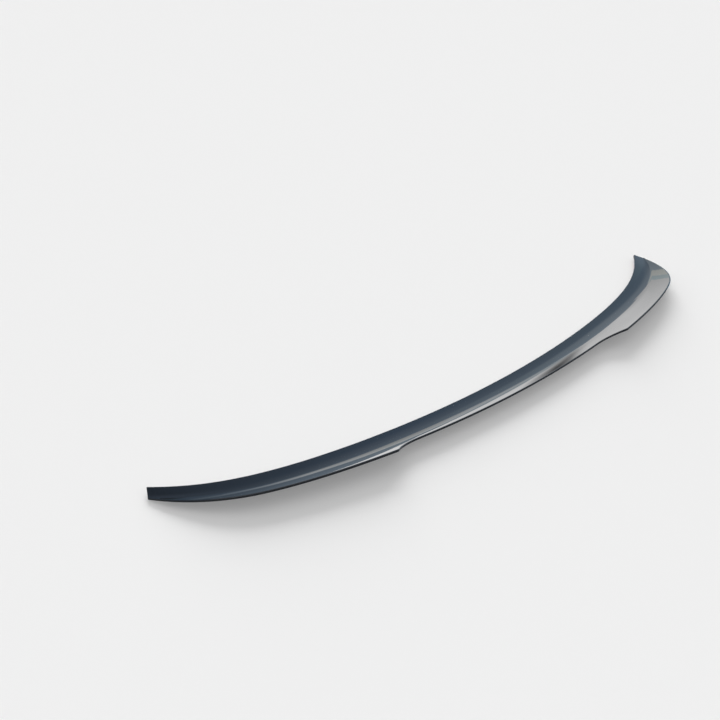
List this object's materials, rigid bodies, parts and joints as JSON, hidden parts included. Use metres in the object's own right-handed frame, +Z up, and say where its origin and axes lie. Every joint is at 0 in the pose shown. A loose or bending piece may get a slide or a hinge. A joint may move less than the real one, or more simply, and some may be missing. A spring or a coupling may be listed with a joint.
{
  "type": "car rear spoiler",
  "caption": "Bowed boot-lid lip spoiler: a thin black wall bent into a bonding flange and a rising lip with a stepped trailing edge, with a taped underside.",
  "frame": {"origin": "middle of the tape strip, on the outer face of its backing film", "axes": "+X to the car's right, +Y to the front of the car, +Z up"},
  "size_m": [1.1008, 0.1676, 0.0304],
  "materials": {
    "gloss_black": "gloss black",
    "foam_tape": "matte foam",
    "red_film": "satin film"
  },
  "bodies": {
    "root": {"spoiler_body": "gloss_black", "adhesive_tape": "foam_tape", "release_film": "red_film"}
  },
  "joints": []
}
